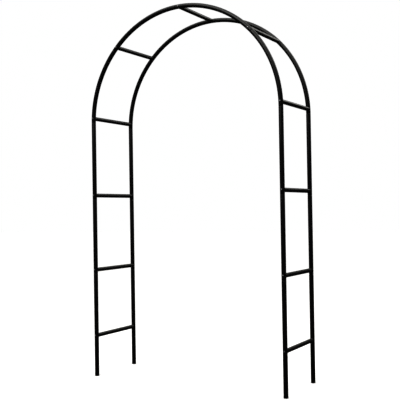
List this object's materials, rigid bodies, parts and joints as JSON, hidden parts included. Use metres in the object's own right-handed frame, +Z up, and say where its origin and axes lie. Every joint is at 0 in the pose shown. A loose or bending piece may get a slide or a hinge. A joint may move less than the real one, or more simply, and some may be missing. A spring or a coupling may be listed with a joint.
{
  "type": "garden trellis arch",
  "caption": "Round-topped garden arch of black steel tube, with plug-together hoops held apart by screwed rungs, for climbing plants over a path.",
  "frame": {"origin": "on the ground at the centre of the four feet", "axes": "+X across the walkway towards the right legs, +Y through the walkway from the front hoop to the back hoop, +Z up"},
  "size_m": [1.4, 0.4662, 2.4],
  "materials": {
    "frame_paint": "satin black powder coat with a fine orange-peel texture",
    "screw_steel": "dark plated steel, satin, a little lighter on the worn rim of the head",
    "cap_plastic": "moulded matt black plastic"
  },
  "bodies": {
    "root": {"front_left_leg_lower": "frame_paint", "front_left_leg_middle": "frame_paint", "front_left_leg_upper": "frame_paint", "front_left_arc_lower": "frame_paint", "front_left_arc_upper": "frame_paint", "front_left_foot_cap": "cap_plastic", "front_right_leg_lower": "frame_paint", "front_right_leg_middle": "frame_paint", "front_right_leg_upper": "frame_paint", "front_right_arc_lower": "frame_paint", "front_right_arc_upper": "frame_paint", "front_right_foot_cap": "cap_plastic", "back_left_leg_lower": "frame_paint", "back_left_leg_middle": "frame_paint", "back_left_leg_upper": "frame_paint", "back_left_arc_lower": "frame_paint", "back_left_arc_upper": "frame_paint", "back_left_foot_cap": "cap_plastic", "back_right_leg_lower": "frame_paint", "back_right_leg_middle": "frame_paint", "back_right_leg_upper": "frame_paint", "back_right_arc_lower": "frame_paint", "back_right_arc_upper": "frame_paint", "back_right_foot_cap": "cap_plastic", "left_rung_1": "frame_paint", "left_rung_1_screw_front": "screw_steel", "left_rung_1_screw_back": "screw_steel", "left_rung_2": "frame_paint", "left_rung_2_screw_front": "screw_steel", "left_rung_2_screw_back": "screw_steel", "left_rung_3": "frame_paint", "left_rung_3_screw_front": "screw_steel", "left_rung_3_screw_back": "screw_steel", "left_rung_4": "frame_paint", "left_rung_4_screw_front": "screw_steel", "left_rung_4_screw_back": "screw_steel", "left_rung_5": "frame_paint", "left_rung_5_screw_front": "screw_steel", "left_rung_5_screw_back": "screw_steel", "right_rung_1": "frame_paint", "right_rung_1_screw_front": "screw_steel", "right_rung_1_screw_back": "screw_steel", "right_rung_2": "frame_paint", "right_rung_2_screw_front": "screw_steel", "right_rung_2_screw_back": "screw_steel", "right_rung_3": "frame_paint", "right_rung_3_screw_front": "screw_steel", "right_rung_3_screw_back": "screw_steel", "right_rung_4": "frame_paint", "right_rung_4_screw_front": "screw_steel", "right_rung_4_screw_back": "screw_steel", "right_rung_5": "frame_paint", "right_rung_5_screw_front": "screw_steel", "right_rung_5_screw_back": "screw_steel", "crown_rung": "frame_paint", "crown_rung_screw_front": "screw_steel", "crown_rung_screw_back": "screw_steel"}
  },
  "joints": []
}
